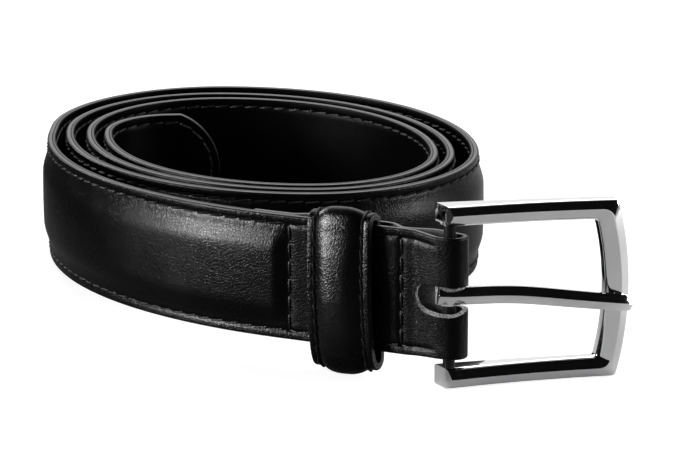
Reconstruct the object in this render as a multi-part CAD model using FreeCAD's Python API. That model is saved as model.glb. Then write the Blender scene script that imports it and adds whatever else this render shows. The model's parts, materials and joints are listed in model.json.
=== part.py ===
import FreeCAD, Part
import math
import os

V = FreeCAD.Vector
ROT = FreeCAD.Rotation
PLACE = FreeCAD.Placement
UP = V(0, 0, 1)
FAR = 120.0                  # reach of the blocks that cut or trim, past every piece

# A gentlemen's dress belt, coiled and standing on its edge. Millimetres, +Z up.
# The strap is followed from its tip, round the coil from the inside out, to the buckle bar.

# ---- strap
strap_height = 32.0          # the width of the belt, which stands upright in the coil
face_leather = 1.4           # face leather, also the turned-back loop at the buckle
lining_leather = 1.0
pad_height = 1.5             # how far the padding lifts the face
flange = 3.0                 # flat stitched margin along both edges
shoulder = 5.0               # slope from the margin up to the padded face
ramp_length = 3.5            # length over which the padding runs out at both ends

# ---- coil, from the tip outwards: (radius, degrees) of each bend, all to the left
tip_straight = 13.0
tip_rise = 11.0              # how far the rounded tip stands out from the full width
coil_bends = [(17.0, 90), (57.6, 90), (33.4, 90),
              (60.7, 90), (35.4, 90), (63.0, 90), (37.6, 90),
              (66.6, 90), (39.8, 90), (68.6, 90), (44.6, 90),
              (72.1, 90), (45.6, 90)]

# ---- the run out to the buckle climbs, because the buckle is taller than the strap
kink_straights = [2.5, 3.0, 2.5]
run_climb = 3.22             # degrees of climb in all, in two equal steps
run_bends = [(114.7, 39.7), (121.6, 23.3)]
run_straight = 48.0

# ---- punched holes, measured from the tip
hole_count = 5
first_hole = 90.0
hole_pitch = 25.0
hole_radius = 2.0
punch_overrun = 0.3

# ---- loop at the buckle: distances back from the bar along the strap
bar_radius = 1.5
bar_gap = 0.9                # loose turn of the leather round the bar
bar_set_back = 0.3           # bar axis behind the plane between face and lining
fold_height = 30.4           # the leather draws in where it is folded
fold_taper = 10.0
near_seam = (10.5, 13.5)     # the two layers are sewn together here, next to the bar
wide_part = (16.5, 40.5)     # here they stand apart to let the keeper through
loop_space = 3.3             # clear distance between the layers there
far_seam = 43.0              # here the turned-back end reaches the lining
lining_end = 41.0
pad_end = 44.0
flap_end = 55.0              # end of the turned-back leather
fold_flat = 1.0              # straight bit of leather on either side of the fold
slot_height = 7.0            # slot for the prong, cut round the fold
slot_reach = 8.5

# ---- keeper
keeper_width = 17.2
keeper_front_edge = 19.2     # nearest edge to the bar, as it lies
keeper_front_gap = 0.9       # leather to leather
keeper_back_gap = 0.35
keeper_top_gap = 0.6
keeper_drop = 3.75           # slack under the strap: the keeper hangs from the top edge
keeper_lining_leather = 0.9
keeper_face_leather = 1.1
keeper_corner = 0.8          # bend inside the lining
keeper_pad = 1.1             # padding behind the keeper's face
keeper_pad_half = 5.0
keeper_pad_slope = 1.7
keeper_pad_margin = 3.0      # the padding stops this far inside the bends
keeper_cover = 0.6           # how much wider the face's dome is than the padding
keeper_cover_end = 0.9

# ---- buckle
buckle_swing = 41.0          # degrees the buckle lies back from the strap's own line
frame_heel_half = 23.0       # half height over the legs at the bar
frame_end_half = 22.6        # half height at the far corners
window_heel_half = 18.0
window_end_half = 17.45
corner_reach = 42.7          # bar axis to the far outer corners
end_bow = 3.0                # the end bar is bowed outwards
window_reach = 37.5
window_bow = 2.2
frame_front = 3.6            # ridge in front of the bar axis
frame_shoulder = 2.4         # foot of the bevels in front of the bar axis
frame_back_heel = 3.8        # the legs are deepest where they carry the bar
frame_back_end = 1.2
heel_front = 1.7             # the heels lean: their front and back reach past the bar axis
heel_back = 3.3
heel_overrun = 6.0           # outlines run past the heels and are trimmed back to them
bar_seat_depth = 3.5

# ---- prong
prong_width = 4.4
prong_fit = 0.05             # running clearance on the bar
prong_eye_wall = 1.3
prong_rest_gap = 0.05        # prong to the ridge of the end bar
prong_sag = 5.0              # degrees the loose prong sags below the middle of the bar
prong_thick = 2.1
prong_side = 1.1             # height of the tongue's sides, below its ridge
prong_root = 0.75            # underside of the tongue in front of the bar axis, at the bar
prong_dip = (12.0, -0.2)     # there it lies furthest back, before it rises over the end bar
prong_climb = (27.0, 2.3)
prong_past = 3.1             # the tip reaches this far past the ridge of the end bar
prong_tip_drop = 0.4
prong_tip_half = 1.5

half = strap_height / 2


def section(points):
    """Flat face across the strap from (inward, up) points."""
    corners = [V(0, a, b) for a, b in points]
    return Part.Face(Part.makePolygon(corners + corners[:1]))


def plan(points, bottom, top):
    """Upright block over (x, y) points."""
    corners = [V(x, y, bottom) for x, y in points]
    return Part.Face(Part.makePolygon(corners + corners[:1])).extrude(V(0, 0, top - bottom))


def box(x0, x1, y0, y1, z0, z1):
    return Part.makeBox(x1 - x0, y1 - y0, z1 - z0, V(x0, y0, z0))


def left_of(p, q):
    """Everything to the left of an upright plane through (x, y) points p and q."""
    block = box(-FAR, FAR, 0, FAR, -FAR, FAR)
    heading = math.degrees(math.atan2(q[1] - p[1], q[0] - p[0]))
    block.Placement = PLACE(V(p[0], p[1], 0), ROT(UP, heading))
    return block


def at(shape, place):
    """The shape moved from a station's own axes to the belt's."""
    copy = shape.copy()
    copy.Placement = place.multiply(copy.Placement)
    return copy


def one(shapes):
    """Several touching pieces of the same material as one solid."""
    joined = shapes[0].multiFuse(shapes[1:]) if len(shapes) > 1 else shapes[0]
    return joined.removeSplitter().Solids[0]


# ---- make-up of the strap, as (inward, up) outlines. Zero is where face meets lining.
# The face leather and the padding bonded behind it are one solid.
face_line = -face_leather
pad_line = -face_leather - pad_height
dome_foot = half - flange
dome_top = dome_foot - shoulder
dome_points = [(face_line, dome_foot), (pad_line, dome_top),
               (pad_line, -dome_top), (face_line, -dome_foot)]
flat_section = section([(0, half), (face_line, half), (face_line, -half), (0, -half)])
face_section = section([(0, half), (face_line, half)] + dome_points
                       + [(face_line, -half), (0, -half)])
lining_section = section([(0, half), (0, -half), (lining_leather, -half), (lining_leather, half)])
flap_line = lining_leather + face_leather
flap_section = section([(lining_leather, half), (lining_leather, -half),
                        (flap_line, -half), (flap_line, half)])


def step(length):
    return PLACE(V(length, 0, 0), ROT())


def bend(radius, degrees):
    turn = math.radians(degrees)
    return PLACE(V(radius * math.sin(turn), radius * (1 - math.cos(turn)), 0), ROT(UP, degrees))


def climb(degrees):
    return PLACE(V(0, 0, 0), ROT(V(0, 1, 0), -degrees))


def bent(profile, radius, degrees):
    return profile.revolve(V(0, radius, 0), UP, degrees)


def mitred(profile, length, start, end):
    """Straight length whose two ends lean by the given degrees, to meet its neighbours."""
    overrun = 2.0
    bar = profile.extrude(V(length + 2 * overrun, 0, 0))
    bar.translate(V(-overrun, 0, 0))
    after = box(0, FAR, -FAR, FAR, -FAR, FAR)
    after.Placement = PLACE(V(length, 0, 0), ROT(V(0, 1, 0), -end))
    before = box(-FAR, 0, -FAR, FAR, -FAR, FAR)
    before.Placement = PLACE(V(0, 0, 0), ROT(V(0, 1, 0), start))
    return bar.cut(after).cut(before)


class Strap:
    """Both layers of the strap, laid piece by piece from a place that moves along it."""

    def __init__(self, place):
        self.place = place
        self.travelled = 0.0
        self.face = []
        self.lining = []
        self.bends = []                                # (distance from tip, place, radius)

    def add(self, face, lining, length):
        self.face.append(at(face, self.place))
        self.lining.append(at(lining, self.place))
        self.place = self.place.multiply(step(length))
        self.travelled += length

    def turn(self, radius, degrees):
        self.bends.append((self.travelled, self.place, radius))
        self.face.append(at(bent(face_section, radius, degrees), self.place))
        self.lining.append(at(bent(lining_section, radius, degrees), self.place))
        self.place = self.place.multiply(bend(radius, degrees))
        self.travelled += math.radians(degrees) * radius

    def at_distance(self, distance):
        """Place on the bend that passes this distance from the tip."""
        start, place, radius = [b for b in self.bends if b[0] <= distance][-1]
        return place.multiply(bend(radius, math.degrees((distance - start) / radius)))


# ---- rounded tip, where the padding runs out
tip_circle = (half ** 2 + tip_rise ** 2) / (2 * tip_rise)
tip_disc = Part.makeCylinder(tip_circle, 2 * FAR, V(tip_circle, -FAR, 0), V(0, 1, 0))
along_tip = V(tip_straight, 0, 0)
tip_dome = section(dome_points).extrude(along_tip)
tip_dome = tip_dome.cut(left_of((tip_straight, pad_line), (tip_straight - ramp_length, face_line)))
tip_face = flat_section.extrude(along_tip).common(tip_disc).fuse(tip_dome)
tip_lining = lining_section.extrude(along_tip).common(tip_disc)

# ---- along the strap: tip, coil, the two small kinks upwards, and the run
strap = Strap(PLACE(V(0, 0, half), ROT(UP, 180)))
strap.add(tip_face, tip_lining, tip_straight)
for radius, degrees in coil_bends:
    strap.turn(radius, degrees)

lean = run_climb / 4
for length, start, end in zip(kink_straights, (0, lean, lean), (lean, lean, 0)):
    if start:
        strap.place = strap.place.multiply(climb(run_climb / 2))
    strap.add(mitred(face_section, length, start, end),
              mitred(lining_section, length, start, end), length)

for radius, degrees in run_bends:
    strap.turn(radius, degrees)

# ---- the last straight, in axes whose zero is at the buckle bar: -X runs back to the coil
bar_place = strap.place.multiply(step(run_straight))
fold_inner = bar_radius + bar_gap
fold_front = bar_set_back - fold_inner
fold_back = bar_set_back + fold_inner


def straight(profile, start, end):
    """Straight length of a section between two distances back from the bar."""
    piece = profile.extrude(V(start - end, 0, 0))
    piece.translate(V(-start, 0, 0))
    return piece


def layer(path):
    """Upright face leather to the left of a line of (x, y) points."""
    normals = []
    for p, q in zip(path[:-1], path[1:]):
        length = math.hypot(q[0] - p[0], q[1] - p[1])
        normals.append(((p[1] - q[1]) / length, (q[0] - p[0]) / length))
    offset = []
    for i, (x, y) in enumerate(path):
        a = normals[max(i - 1, 0)]
        b = normals[min(i, len(normals) - 1)]
        scale = face_leather / (1 + a[0] * b[0] + a[1] * b[1])
        offset.append((x + (a[0] + b[0]) * scale, y + (a[1] + b[1]) * scale))
    return plan(path + offset[::-1], -half, half)


ramp_foot, ramp_head = (-pad_end, face_line), (-pad_end - ramp_length, pad_line)
end_dome = straight(section(dome_points), run_straight, pad_end).cut(left_of(ramp_foot, ramp_head))
front = straight(flat_section, run_straight, near_seam[0])
front_at_fold = layer([(0.0, fold_front), (-fold_flat, fold_front), (-near_seam[0], 0.0)])
fold = Part.makeCylinder(fold_inner + face_leather, strap_height, V(0, bar_set_back, -half))
fold = fold.cut(Part.makeCylinder(fold_inner, strap_height, V(0, bar_set_back, -half)))
fold = fold.common(box(0, FAR, -FAR, FAR, -half, half))
turned_back = layer([(-run_straight, lining_leather), (-far_seam, lining_leather),
                     (-wide_part[1], loop_space), (-wide_part[0], loop_space),
                     (-near_seam[1], 0.0), (-near_seam[0], 0.0),
                     (-fold_flat, fold_back), (0.0, fold_back)])
flap_radius = run_bends[-1][0]
flap_sweep = math.degrees((flap_end - run_straight) / flap_radius)
flap = at(bent(flap_section, flap_radius, -flap_sweep), step(-run_straight))

slot_half = slot_height / 2
slot_centre = slot_reach - slot_half
slot = box(-slot_centre, FAR, -FAR, FAR, -slot_half, slot_half)
slot = slot.fuse(Part.makeCylinder(slot_half, 2 * FAR, V(-slot_centre, -FAR, 0), V(0, 1, 0)))


def drawn_in(side):
    """Wedge above (1) or below (-1) the leather where it narrows towards the fold."""
    rim, low = side * half, side * fold_height / 2
    corners = [V(x, -FAR, z) for x, z in ((-fold_taper, rim), (0, low), (FAR, low),
                                          (FAR, side * FAR), (-fold_taper, side * FAR))]
    return Part.Face(Part.makePolygon(corners + corners[:1])).extrude(V(0, 2 * FAR, 0))


end_face = one([front, front_at_fold, end_dome, fold, turned_back, flap])
end_face = end_face.cut([slot, drawn_in(1), drawn_in(-1)])
end_lining = straight(lining_section, run_straight, lining_end)

# ---- both layers as solids, with the holes punched through them
punch_start = pad_line - punch_overrun
punch = Part.makeCylinder(hole_radius, lining_leather + punch_overrun - punch_start,
                          V(0, punch_start, 0), V(0, 1, 0))
holes = [at(punch, strap.at_distance(first_hole + hole_pitch * n)) for n in range(hole_count)]
strap_face = one(strap.face + [at(end_face, bar_place)]).cut(holes)
strap_lining = one(strap.lining + [at(end_lining, bar_place)]).cut(holes)


# ---- keeper: a ring round the front layer only, in the bar's axes
def ring(grow):
    """Rounded block through the keeper's ring, grown outwards from its inside."""
    end = -keeper_front_edge
    block = box(end - keeper_width, end,
                face_line - keeper_front_gap - grow, keeper_back_gap + grow,
                -half - keeper_top_gap - keeper_drop - grow, half + keeper_top_gap + grow)
    long_edges = [e for e in block.Edges if abs(e.tangentAt(e.FirstParameter).x) > 0.99]
    return block.makeFillet(keeper_corner + grow, long_edges)


def dome(base, foot, bottom, top):
    """Raised pad with sloping sides on the keeper's front."""
    middle = -keeper_front_edge - keeper_width / 2
    crest = foot - keeper_pad_slope
    return plan([(middle - foot, base), (middle - crest, base - keeper_pad),
                 (middle + crest, base - keeper_pad), (middle + foot, base)], bottom, top)


inside = ring(0)
between = ring(keeper_lining_leather)
outside = ring(keeper_lining_leather + keeper_face_leather)
lining_front = face_line - keeper_front_gap - keeper_lining_leather
pad_bottom = -half - keeper_top_gap - keeper_drop + keeper_pad_margin
pad_top = half + keeper_top_gap - keeper_pad_margin
keeper_filler = dome(lining_front, keeper_pad_half, pad_bottom, pad_top)
raised = dome(lining_front - keeper_face_leather, keeper_pad_half + keeper_cover,
              pad_bottom - keeper_cover_end, pad_top + keeper_cover_end)
keeper_lining = between.cut(inside)
keeper_face = outside.fuse(raised).cut([between, keeper_filler]).removeSplitter()

# ---- buckle, in axes with the bar along Z at zero: +X to the end bar, -Y to the front
buckle_place = bar_place.multiply(PLACE(V(0, bar_set_back, 0), ROT(UP, buckle_swing)))


def outline(bar_half, end_half, reach, bow, y):
    """Closed outline of the frame or its window: straight legs, overrun heels, bowed end."""
    heel_half = bar_half + (bar_half - end_half) * heel_overrun / reach
    a, b = V(-heel_overrun, y, -heel_half), V(reach, y, -end_half)
    c, d = V(reach, y, end_half), V(-heel_overrun, y, heel_half)
    return Part.Wire([Part.LineSegment(a, b).toShape(),
                      Part.Arc(b, V(reach + bow, y, 0), c).toShape(),
                      Part.LineSegment(c, d).toShape(), Part.LineSegment(d, a).toShape()])


outer = (frame_heel_half, frame_end_half, corner_reach, end_bow)
window = (window_heel_half, window_end_half, window_reach, window_bow)
ridge = tuple((a + b) / 2 for a, b in zip(outer, window))
body = Part.Face(outline(*outer, frame_back_heel)).extrude(
    V(0, -frame_back_heel - frame_shoulder, 0))
crown = Part.makeLoft([outline(*outer, -frame_shoulder), outline(*ridge, -frame_front)],
                      True, True)
opening = Part.Face(outline(*window, FAR)).extrude(V(0, -2 * FAR, 0))
dish = Part.makeLoft([outline(*window, -frame_shoulder), outline(*ridge, -frame_front)],
                     True, True)
bar_half = window_heel_half + bar_seat_depth
bar = Part.makeCylinder(bar_radius, 2 * bar_half, V(0, 0, -bar_half))
behind = left_of((0, frame_back_heel), (corner_reach + end_bow, frame_back_end))
past_heels = left_of((-heel_front, -frame_front), (-heel_back, frame_back_heel))
frame = body.fuse(crown).cut([opening, dish, behind, past_heels, bar]).removeSplitter()

# ---- prong: an eye on the bar and a curved, ridged tongue that rests on the end bar
eye_inner = bar_radius + prong_fit
eye_outer = eye_inner + prong_eye_wall
prong_half = prong_width / 2
rest_at = ridge[2] + ridge[3]
rest = frame_front + prong_rest_gap
tip_at = rest_at + prong_past
underside = Part.BSplineCurve()
underside.interpolate([V(0, -prong_root, 0), V(prong_dip[0], -prong_dip[1], 0),
                       V(prong_climb[0], -prong_climb[1], 0), V(rest_at, -rest, 0),
                       V(tip_at, prong_tip_drop - rest, 0)])
tongue_section = Part.makePolygon([V(0, y - prong_root, z) for y, z in (
    (0, -prong_half), (-prong_side, -prong_half), (-prong_thick, 0),
    (-prong_side, prong_half), (0, prong_half), (0, -prong_half))])
tongue = Part.Wire(underside.toShape()).makePipeShell([tongue_section], True, False)
tip_plan = [V(x, FAR, z) for x, z in ((-FAR, prong_half), (rest_at / 2, prong_half),
                                      (tip_at, prong_tip_half), (tip_at, -prong_tip_half),
                                      (rest_at / 2, -prong_half), (-FAR, -prong_half))]
tip_trim = Part.Face(Part.makePolygon(tip_plan + tip_plan[:1])).extrude(V(0, -2 * FAR, 0))
tongue = tongue.common(tip_trim)
tongue.rotate(V(0, 0, 0), V(0, 1, 0), prong_sag)
eye = Part.makeCylinder(eye_outer, prong_width, V(0, 0, -prong_half))
bore = Part.makeCylinder(eye_inner, 2 * FAR, V(0, 0, -FAR))
prong = eye.fuse(tongue).cut(bore).removeSplitter()

parts = {
    "strap_face": strap_face,
    "strap_lining": strap_lining,
    "keeper_face": at(keeper_face, bar_place),
    "keeper_filler": at(keeper_filler, bar_place),
    "keeper_lining": at(keeper_lining, bar_place),
    "buckle_frame": at(frame, buckle_place),
    "buckle_bar": at(bar, buckle_place),
    "prong": at(prong, buckle_place),
}

# ---- stand the belt on the floor with the middle of its box over the origin
whole = Part.makeCompound(list(parts.values())).optimalBoundingBox(False, False)
origin = V((whole.XMin + whole.XMax) / 2, (whole.YMin + whole.YMax) / 2, whole.ZMin)

os.makedirs("parts", exist_ok=True)
for name, shape in parts.items():
    shape.translate(origin.negative())
    shape.exportStep("parts/" + name + ".step")
    print(name, shape.isValid(), len(shape.Solids), round(shape.Volume, 1),
          round(shape.BoundBox.ZMin, 3))
print("size", whole.XLength, whole.YLength, whole.ZLength, "origin", origin)
print("bar", buckle_place.Base.sub(origin), "axis", bar_place.Rotation.multVec(UP),
      "strap", bar_place.Rotation.multVec(V(1, 0, 0)))
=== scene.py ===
import json
import math

import bmesh
import bpy
import numpy as np
from mathutils import Matrix, Vector


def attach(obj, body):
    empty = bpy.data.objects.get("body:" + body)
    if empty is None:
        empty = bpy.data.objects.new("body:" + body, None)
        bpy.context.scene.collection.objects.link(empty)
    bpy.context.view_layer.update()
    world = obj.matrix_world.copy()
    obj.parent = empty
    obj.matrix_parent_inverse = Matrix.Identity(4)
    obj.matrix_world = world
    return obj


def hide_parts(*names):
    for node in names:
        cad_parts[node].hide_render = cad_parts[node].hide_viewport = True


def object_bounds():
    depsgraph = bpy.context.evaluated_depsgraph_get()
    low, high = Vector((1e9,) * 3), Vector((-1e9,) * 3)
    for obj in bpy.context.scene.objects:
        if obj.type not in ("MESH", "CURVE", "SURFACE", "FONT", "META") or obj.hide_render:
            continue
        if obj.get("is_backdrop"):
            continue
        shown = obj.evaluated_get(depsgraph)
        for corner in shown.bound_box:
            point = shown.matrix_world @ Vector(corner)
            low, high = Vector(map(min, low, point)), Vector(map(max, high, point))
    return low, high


bl_info = {
    "name": "Coiled Dress Belt",
    "version": (1, 0, 0),
    "blender": (4, 5, 0),
    "location": "3D View > Sidebar > Belt",
    "description": "Dresses the packed belt: leather strap, keeper, buckle, prong and stage",
    "category": "Object",
}

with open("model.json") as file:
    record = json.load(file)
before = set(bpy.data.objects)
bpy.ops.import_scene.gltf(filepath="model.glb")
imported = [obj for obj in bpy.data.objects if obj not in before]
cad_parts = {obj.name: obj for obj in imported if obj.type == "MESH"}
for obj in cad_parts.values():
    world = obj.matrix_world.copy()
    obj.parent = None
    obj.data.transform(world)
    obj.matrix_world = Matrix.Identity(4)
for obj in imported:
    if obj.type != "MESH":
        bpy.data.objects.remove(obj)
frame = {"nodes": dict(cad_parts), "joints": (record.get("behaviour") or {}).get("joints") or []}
cad_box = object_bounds()
joints = {joint["name"]: joint for joint in frame["joints"]}

MM = 0.001

# The buckle end's own axes: along the strap to the buckle, inwards to the coil, up.
bar = np.array(joints["buckle_swing"]["pos_m"])
up = np.array(joints["buckle_swing"]["axis"])
along = np.array(joints["keeper_slide"]["axis"])
along = along / np.linalg.norm(along)
inward = np.cross(up, along)
bar_set_back = 0.3 * MM
end_point = bar - inward * bar_set_back

# The strap from its tip outwards: every bend of the coil is a quarter turn to the left.
tip_straight = 13.0 * MM
coil_radii = (17.0, 57.6, 33.4, 60.7, 35.4, 63.0, 37.6, 66.6, 39.8, 68.6, 44.6, 72.1, 45.6)
climb_length = 8.0 * MM
climb_degrees = 3.22
run_bends = ((114.7, 39.7), (121.6, 23.3))      # radius in mm, angle in degrees
run_straight = 48.0 * MM

# What is punched, measured from the tip, and what is sewn, measured back from the bar.
first_hole = 90.0 * MM
hole_pitch = 25.0 * MM
hole_count = 5
far_seam_reach = 43.6 * MM
far_seam_back_reach = 44.6 * MM
near_seam_reach = 12.4 * MM
lining_end_reach = 41.5 * MM
seam_clearance = 1.5 * MM        # the rows along the edges stop this far from a seam

# How deep stitches sink, as parts of the groove: in the lining, and in the seams across.
lining_groove = 0.8
seam_groove = 1.6


def smooth(value):
    """Eased step from 0 to 1."""
    value = np.clip(value, 0.0, 1.0)
    return value * value * (3.0 - 2.0 * value)


def hump(value, centre, width):
    """Soft ridge of height 1."""
    return np.exp(-(((value - centre) / width) ** 2))


def about(axis, angle):
    """Turn about one of the axes, as a plain array."""
    return np.array(Matrix.Rotation(angle, 3, axis))


# ---------------------------------------------------------------- sizes a user would change


class StrapSizes(bpy.types.PropertyGroup):
    width: bpy.props.FloatProperty(
        name="Width", description="Width of the strap", default=0.032, unit="LENGTH")
    face: bpy.props.FloatProperty(
        name="Face leather", description="Thickness of the face leather", default=0.0014,
        unit="LENGTH")
    lining: bpy.props.FloatProperty(
        name="Lining", description="Thickness of the lining leather", default=0.001,
        unit="LENGTH")
    padding: bpy.props.FloatProperty(
        name="Padding", description="How far the padding lifts the face", default=0.0015,
        unit="LENGTH")
    flange: bpy.props.FloatProperty(
        name="Stitched margin", description="Flat margin outside the padding", default=0.0029,
        unit="LENGTH")
    shoulder: bpy.props.FloatProperty(
        name="Shoulder", description="Slope from the margin to the padded face",
        default=0.0062, unit="LENGTH")
    edge: bpy.props.FloatProperty(
        name="Edge rounding", description="Radius of the burnished edges", default=0.00045,
        unit="LENGTH")
    fold_width: bpy.props.FloatProperty(
        name="Fold width", description="Width of the leather where it turns round the bar",
        default=0.0306, unit="LENGTH")
    tip_rise: bpy.props.FloatProperty(
        name="Tip", description="Length over which the tip is rounded", default=0.011,
        unit="LENGTH")
    hole_radius: bpy.props.FloatProperty(
        name="Hole radius", description="Radius of the punched holes", default=0.002,
        unit="LENGTH")


class StitchSizes(bpy.types.PropertyGroup):
    pitch: bpy.props.FloatProperty(
        name="Pitch", description="Length of one stitch from hole to hole", default=0.0044,
        unit="LENGTH")
    thread: bpy.props.FloatProperty(
        name="Thread", description="Thickness of the thread", default=0.00062, unit="LENGTH")
    inset: bpy.props.FloatProperty(
        name="Inset", description="Distance of the rows from the edge", default=0.00225,
        unit="LENGTH")
    groove: bpy.props.FloatProperty(
        name="Groove", description="How deep the rows sink in", default=0.00028,
        unit="LENGTH")


class KeeperSizes(bpy.types.PropertyGroup):
    width: bpy.props.FloatProperty(
        name="Width", description="Width of the keeper", default=0.0172, unit="LENGTH")
    near_edge: bpy.props.FloatProperty(
        name="Place", description="Distance of its near edge from the bar", default=0.0192,
        unit="LENGTH")
    lining: bpy.props.FloatProperty(
        name="Lining", description="Thickness of its lining", default=0.0009, unit="LENGTH")
    face: bpy.props.FloatProperty(
        name="Face", description="Thickness of its face leather", default=0.0011,
        unit="LENGTH")
    dome: bpy.props.FloatProperty(
        name="Padding", description="How far its padding lifts the face", default=0.0022,
        unit="LENGTH")
    lean: bpy.props.FloatProperty(
        name="Lean", description="How far it leans towards the buckle",
        default=math.radians(2.0), subtype="ANGLE", unit="ROTATION")


class BuckleSizes(bpy.types.PropertyGroup):
    swing: bpy.props.FloatProperty(
        name="Swing", description="Angle between the strap's line and the buckle",
        default=math.radians(41.0), subtype="ANGLE", unit="ROTATION")
    heel_half: bpy.props.FloatProperty(
        name="Half height at the bar", description="Half height over the legs", default=0.023,
        unit="LENGTH")
    end_half: bpy.props.FloatProperty(
        name="Half height at the end", description="Half height at the far corners",
        default=0.0226, unit="LENGTH")
    window_half: bpy.props.FloatProperty(
        name="Half window", description="Half height of the window at the bar",
        default=0.018, unit="LENGTH")
    reach: bpy.props.FloatProperty(
        name="Reach", description="Distance from the bar to the far corners",
        default=0.0427, unit="LENGTH")
    bow: bpy.props.FloatProperty(
        name="Bow", description="How far the end bar is bowed outwards", default=0.003,
        unit="LENGTH")
    hollow: bpy.props.FloatProperty(
        name="Hollow", description="How far the legs lie back between heel and end",
        default=0.0012, unit="LENGTH")


class FinishSettings(bpy.types.PropertyGroup):
    leather: bpy.props.FloatVectorProperty(
        name="Leather", description="Colour of the face leather", size=3, subtype="COLOR",
        default=(0.0016, 0.0016, 0.0017), min=0.0, max=1.0)
    lining: bpy.props.FloatVectorProperty(
        name="Lining", description="Colour of the lining", size=3, subtype="COLOR",
        default=(0.0014, 0.0014, 0.0014), min=0.0, max=1.0)
    raw_edge: bpy.props.FloatVectorProperty(
        name="Raw edge", description="Colour of cut leather", size=3, subtype="COLOR",
        default=(0.20, 0.195, 0.19), min=0.0, max=1.0)
    thread: bpy.props.FloatVectorProperty(
        name="Thread", description="Colour of the thread", size=3, subtype="COLOR",
        default=(0.003, 0.003, 0.0032), min=0.0, max=1.0)
    metal: bpy.props.FloatVectorProperty(
        name="Plating", description="Colour of the plated metal", size=3, subtype="COLOR",
        default=(0.80, 0.80, 0.81), min=0.0, max=1.0)
    gloss: bpy.props.FloatProperty(
        name="Leather roughness", description="Roughness of the polished face leather",
        default=0.26, min=0.0, max=1.0, subtype="FACTOR")


class StageSettings(bpy.types.PropertyGroup):
    left_lamp: bpy.props.FloatProperty(
        name="Left lamp", description="Power of the soft lamp on the left", default=4.0,
        unit="POWER")
    back_lamp: bpy.props.FloatProperty(
        name="Back lamp", description="Power of the soft lamp behind and above", default=12.0,
        unit="POWER")
    right_lamp: bpy.props.FloatProperty(
        name="Right lamp", description="Power of the soft lamp on the right", default=4.0,
        unit="POWER")
    sheen: bpy.props.FloatProperty(
        name="Sheen", description="Power of the lamp that only makes the leather shine",
        default=84.0, unit="POWER")
    ambient: bpy.props.FloatProperty(
        name="Ambient", description="Strength of the light from all round", default=0.3,
        min=0.0, max=2.0)


# ---------------------------------------------------------------- the strap's line


class StrapLine:
    """Where the plane between face and lining runs: place and axes at any distance."""

    def __init__(self, step=0.25 * MM, ease=13.0 * MM):
        # length, turn to the left and climb of each stretch
        legs = [(tip_straight, 0.0, 0.0)]
        legs += [(radius * MM * math.pi / 2, math.pi / 2, 0.0) for radius in coil_radii]
        legs += [(climb_length, 0.0, math.radians(climb_degrees))]
        legs += [(radius * MM * math.radians(degrees), math.radians(degrees), 0.0)
                 for radius, degrees in run_bends]
        legs += [(run_straight, 0.0, 0.0)]
        self.length = sum(leg[0] for leg in legs)
        count = int(round(self.length / step))
        step = self.length / count
        middle = (np.arange(count) + 0.5) * step
        turning, climbing = np.zeros(count), np.zeros(count)
        start = 0.0
        for length, turn, climb in legs:
            inside = (middle >= start) & (middle < start + length)
            turning[inside] = turn / length
            climbing[inside] = climb / length
            start += length
        # leather goes from one bend to the next by degrees
        window = np.hanning(int(ease / step))
        window /= window.sum()
        pad = len(window)
        turning, climbing = (
            np.convolve(np.pad(rate, pad, mode="edge"), window, "same")[pad:-pad]
            for rate in (turning, climbing))
        # the line is followed back from the buckle end, whose place is known
        axes = np.column_stack([along, inward, up])
        place = end_point.copy()
        self.distance = np.arange(count + 1) * step
        self.places, self.axes = np.zeros((count + 1, 3)), np.zeros((count + 1, 3, 3))
        self.places[-1], self.axes[-1] = place, axes
        for i in range(count - 1, -1, -1):
            turned = axes @ about("Y", climbing[i] * step) @ about("Z", -turning[i] * step)
            place = place - (axes[:, 0] + turned[:, 0]) / 2 * step
            axes = turned
            self.places[i], self.axes[i] = place, axes

    def at(self, distances):
        """Places, and the directions along, inwards and up, at the given distances."""
        distances = np.asarray(distances, float)
        place = np.stack([np.interp(distances, self.distance, self.places[:, k])
                          for k in range(3)], -1)
        axes = np.stack([np.stack([np.interp(distances, self.distance, self.axes[:, k, j])
                                   for k in range(3)], -1) for j in range(3)], -2)
        axes /= np.linalg.norm(axes, axis=-1, keepdims=True)
        return place, axes[..., 0, :], axes[..., 1, :], axes[..., 2, :]


line = StrapLine()
loop_start = line.length - 20.0 * MM     # from here the leather leaves the plain line

# The turn round the bar and back, as (along, inwards) from the end of the line, mm.
bar_loop = [(-20.0, 0.0), (-8.4, 0.0), (-2.0, -2.1), (1.1, -2.1)]
bar_loop += [(1.1 + 2.4 * math.sin(a), 0.3 - 2.4 * math.cos(a))
             for a in np.linspace(0.1, math.pi - 0.1, 24)]
bar_loop += [(1.1, 2.7), (-1.4, 2.7), (-10.5, 0.05), (-13.3, 0.05), (-17.3, 3.3),
             (-39.8, 3.3), (-43.4, 1.05), (-48.0, 1.05)]
flap_radius = run_bends[-1][0] - 1.05
bar_loop += [(-48.0 - flap_radius * math.sin(a), run_bends[-1][0] - flap_radius * math.cos(a))
             for a in np.linspace(0.01, 0.0575, 6)]


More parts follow.
